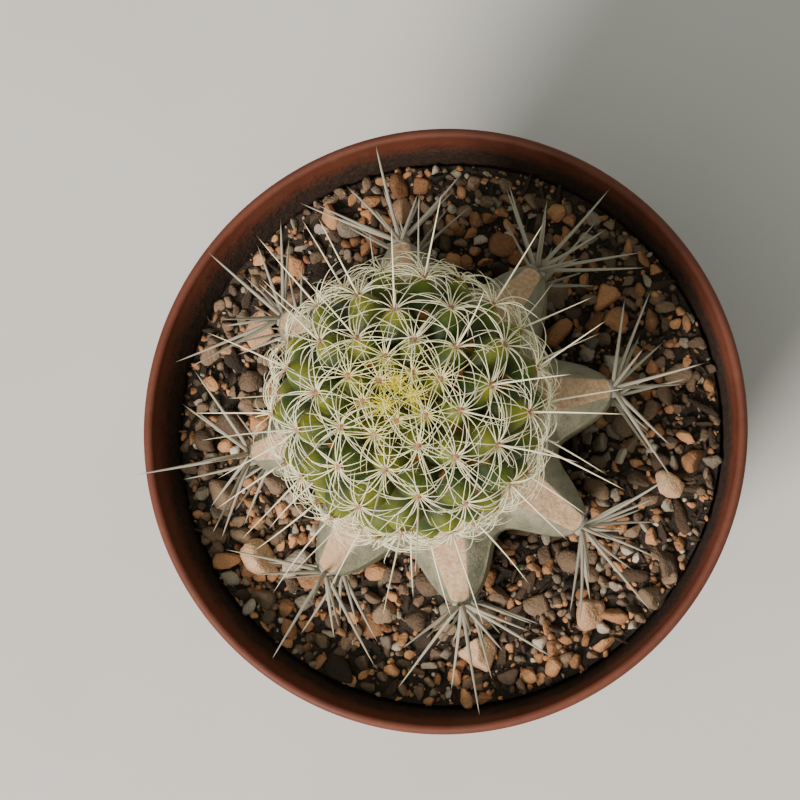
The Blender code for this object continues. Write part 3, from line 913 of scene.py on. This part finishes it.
def radial_spines(chance, foot, outward, upward, aside, count, length, lift, bend, thick):
    """Fine spines all round an areole, which rise, bow over and come down on their neighbours."""
    spread = (np.arange(count) + chance.uniform(-0.42, 0.42, count)) * TAU / count + chance.uniform(0, TAU)
    reach = length * chance.uniform(0.62, 1.12, count)
    rise = lift + chance.normal(0, 0.14, count)
    droop = bend * chance.uniform(0.6, 1.3, count)
    sway = chance.normal(0, 0.30, count)
    flat = np.cos(spread)[:, None] * upward + np.sin(spread)[:, None] * aside
    side = np.cross(outward, flat)
    share = np.linspace(0, 1, FINE_STEPS)[None, :, None]
    start = foot + flat * 0.25 * MM
    path = start[:, None, :] + reach[:, None, None] * (
        share * (np.cos(rise)[:, None, None] * flat[:, None, :] + np.sin(rise)[:, None, None] * outward)
        - share**2 * droop[:, None, None] * outward
        + share**2 * sway[:, None, None] * side[:, None, :]
    )
    width = thick * (1 - 0.72 * share[:, :, 0]) * np.ones((count, 1))
    return tapering(path, width, side, FINE_SIDES)


def straight_spines(chance, foot, ways, lengths, thick, bow):
    """Stout spines along given directions, tapering to a point, bowed a little."""
    ways = unit(np.array(ways, float))
    side = unit(np.cross(ways, unit(chance.normal(size=ways.shape))))
    share = np.linspace(0, 1, STOUT_STEPS)[None, :, None]
    lengths = np.array(lengths, float)[:, None, None]
    sag = np.cross(side, ways)[:, None, :] * bow * share * (share - 1)
    path = np.array(foot) + lengths * (share * ways[:, None, :] + sag)
    taper = 1 - share[:, :, 0] ** 1.5 * 0.8
    width = thick * taper * np.ones((len(ways), 1))
    return tapering(path, width, side, STOUT_SIDES)


def add_spines(shape, chance, made, slot):
    """Adds spines to a shape, each with its own tone."""
    points, faces, share = made
    block = len(points) // int((share == 1).sum())
    tone = np.repeat(chance.random(len(points) // block), block)
    shape.add(points, faces, slot, share=share, tone=tone)


def add_felt(shape, foot, outward, width, height, slot):
    """A low woolly cushion on an areole."""
    points, faces = BALLS[3]
    helper = unit(np.cross(outward, (0.31, 0.74, 0.59)))
    other = np.cross(outward, helper)
    matted = [noise.noise(Vector(point) * 4.5 + Vector(foot) * 900) for point in points]
    fuzz = 1 + 0.16 * np.array(matted)[:, None]
    spot = (points[:, :1] * helper + points[:, 1:2] * other) * width + points[:, 2:] * outward * height
    shape.add(foot + spot * fuzz, faces, slot)


def make_scion_spines():
    """One cluster on each areole: those with a CAD node stand for it, and the rest go lower down."""
    chance = np.random.default_rng(11)
    radial = spine_look("scion_radial_spine", (0.97, 0.88, 0.58), (0.94, 0.83, 0.52), (0.74, 0.57, 0.33))
    central = spine_look("scion_central_spine", (0.94, 0.83, 0.59), (0.86, 0.70, 0.46), (0.66, 0.40, 0.26))
    crown = spine_look("scion_young_spine", (0.88, 0.78, 0.09), (0.93, 0.85, 0.24), (0.62, 0.60, 0.05))
    felt = felt_look("scion_felt", (0.52, 0.28, 0.17), (0.26, 0.085, 0.040))
    crown_felt = felt_look("scion_young_felt", (0.80, 0.70, 0.13), (0.52, 0.47, 0.05))
    inner = spine_look("scion_inner_spine", (0.96, 0.86, 0.42), (0.94, 0.84, 0.44), (0.74, 0.60, 0.22))
    looks = [radial, central, crown, felt, crown_felt, inner]
    lower = Shape()
    for number, way in enumerate(areole_ways(np.arange(AREOLES, dtype=float))):
        foot, outward, upward, aside = frame_at(way)
        place = (foot, outward, upward, aside)
        shape = Shape() if number < len(CAD_CLUSTERS) else lower
        if number < TUFTS:
            for count, length, lift, bend in ((38, 2.6 * MM, 0.75, 0.20), (16, 2.3 * MM, 1.25, 0.10)):
                made = radial_spines(chance, *place, count, length, lift, bend, 0.080 * MM)
                add_spines(shape, chance, made, CROWN)
            add_felt(shape, foot, outward, 0.80 * MM, 0.50 * MM, CROWN_FELT)
        else:
            youth = smooth((number - TUFTS + 1) / 11)
            length = blend(4.6, 8.0, youth) * MM
            count = int(chance.integers(16, 22))
            lift = blend(0.85, 0.62, youth)
            bend = blend(0.45, 0.72, youth)
            thick = blend(0.068, 0.082, youth) * MM
            made = radial_spines(chance, *place, count, length, lift, bend, thick)
            add_spines(shape, chance, made, INNER if number < FIRST_CENTRAL else RADIAL)
            width, height = blend(0.34, 0.46, youth) * MM, blend(0.22, 0.30, youth) * MM
            add_felt(shape, foot, outward, width, height, FELT)
        if number >= FIRST_CENTRAL and chance.random() < CENTRAL_SHARE:
            lean = outward - upward * chance.uniform(0.10, 0.42) + aside * chance.normal(0, 0.14)
            length = chance.uniform(10.0, 13.0) * MM
            made = straight_spines(chance, foot, [lean], [length], 0.130 * MM, chance.normal(0, 0.05))
            add_spines(shape, chance, made, CENTRAL)
        if number < len(CAD_CLUSTERS):
            name = CAD_CLUSTERS[number]
            shape.make(name.replace("spines", "cluster"), looks, [name], "scion_spine")
    lower.make("scion_clusters_lower", looks, (), "scion_spine")


# Rootstock spines


def make_stock_spines():
    """Two clusters on each rib: one at the shoulder, for a CAD node, and a smaller one lower down."""
    chance = np.random.default_rng(5)
    grey = spine_look(
        "rootstock_spine", (0.34, 0.300, 0.230), (0.26, 0.20, 0.145), (0.30, 0.25, 0.185), 0.65
    )
    felt = felt_look("rootstock_felt", (0.42, 0.39, 0.33), (0.20, 0.18, 0.145))
    for rib, name in enumerate(STOCK_CLUSTERS):
        turn = FIRST_RIB + rib * RIB_PITCH
        aside = np.array((-math.sin(turn), math.cos(turn), 0))
        level = np.array((math.cos(turn), math.sin(turn), 0))
        top_z = float(stock_top(np.array(CREST_RADIUS), np.array(turn))[0])
        for tier, height in enumerate((top_z - 1.2 * MM, LOW_AREOLE_Z)):
            tilt = (0.25, 0.05)[tier]
            outward = unit(level + np.array((0, 0, tilt)))
            upward = unit(np.array((0, 0, 1.0)) - outward * outward[2])
            foot = level * (float(stock_reach(turn, height)) + (0.0, 0.5 * MM)[tier]) + (0, 0, height)
            count = 8 - tier
            spread = (np.arange(count) + chance.uniform(-0.25, 0.25, count)) * TAU / count + 0.2
            open_out = chance.uniform(0.90, 1.15, count)
            ways = [
                outward * math.cos(wide)
                + (aside * math.sin(around) + upward * math.cos(around)) * math.sin(wide)
                for around, wide in zip(spread, open_out)
            ]
            lengths = list(chance.uniform(10.5, 16.5, count) * MM * (1.0, 0.75)[tier])
            ways.append(outward + aside * chance.normal(0, 0.12) + upward * chance.normal(0, 0.1))
            lengths.append(chance.uniform(13, 16.5) * MM * (1.0, 0.8)[tier])
            shape = Shape()
            made = straight_spines(chance, foot, ways, lengths, 0.30 * MM, chance.normal(0, 0.04))
            add_spines(shape, chance, made, slot=0)
            add_felt(shape, foot, outward, 1.3 * MM, 0.7 * MM, slot=1)
            if tier == 0:
                shape.make(name.replace("spines", "cluster"), [grey, felt], [name], "rootstock_spine")
            else:
                shape.make(f"rootstock_cluster_low_{rib + 1:02d}", [grey, felt], (), "rootstock_spine")


# Stage


def make_floor():
    data = bpy.data.meshes.new("floor")
    half = 3.0
    corners = [(-half, -half, 0), (half, -half, 0), (half, half, 0), (-half, half, 0)]
    data.from_pydata(corners, [], [(0, 1, 2, 3)])
    floor = bpy.data.objects.new("floor", data)
    bpy.context.scene.collection.objects.link(floor)
    look = Look("pale_floor", 0.8)
    look.colour(look.ramp(look.noise(60 * MM, 3), (0.3, (0.60, 0.57, 0.545)), (0.7, (0.64, 0.615, 0.59))))
    data.materials.append(look.material)


def light(name, place, size, power, colour):
    lamp = bpy.data.lights.new(name, "AREA")
    lamp.shape = "DISK"
    lamp.size = size
    lamp.energy = power
    lamp.color = colour
    made = bpy.data.objects.new(name, lamp)
    made.location = place
    made.rotation_euler = (LAMP_TARGET - Vector(place)).to_track_quat("-Z", "Y").to_euler()
    bpy.context.scene.collection.objects.link(made)


def make_lights():
    light("key", (-0.545, -0.755, 0.92), 0.46, 28, (1.0, 0.945, 0.885))
    light("overhead", (-0.20, -0.25, 1.30), 1.0, 4.2, (0.94, 1.0, 0.92))
    world = bpy.data.worlds.new("room")
    world.use_nodes = True
    backdrop = world.node_tree.nodes["Background"]
    backdrop.inputs["Color"].default_value = (0.93, 1.0, 0.89, 1)
    backdrop.inputs["Strength"].default_value = 0.34
    bpy.context.scene.world = world


def make_camera():
    """Looks almost straight down, from a little towards +X and -Y, with +Y up in the frame."""
    azimuth, elevation = math.radians(54), math.radians(81)
    level = math.cos(elevation)
    back = Vector((math.sin(azimuth) * level, -math.cos(azimuth) * level, math.sin(elevation)))
    camera = bpy.data.cameras.new("camera")
    camera.lens = CAMERA_LENS
    camera.sensor_width = 36
    made = bpy.data.objects.new("camera", camera)
    right = Vector((0, 1, 0)).cross(back).normalized()
    above = back.cross(right)
    turn = Matrix((right, above, back)).transposed()
    made.matrix_world = Matrix.Translation(CAMERA_AIM + back * CAMERA_DISTANCE_MM * MM) @ turn.to_4x4()
    bpy.context.scene.collection.objects.link(made)
    bpy.context.scene.camera = made


make_pot()
make_soil()
make_stones()
make_grit()
make_rootstock()
make_scion()
make_scion_spines()
make_stock_spines()
make_floor()
make_lights()
make_camera()

bpy.context.view_layer.update()
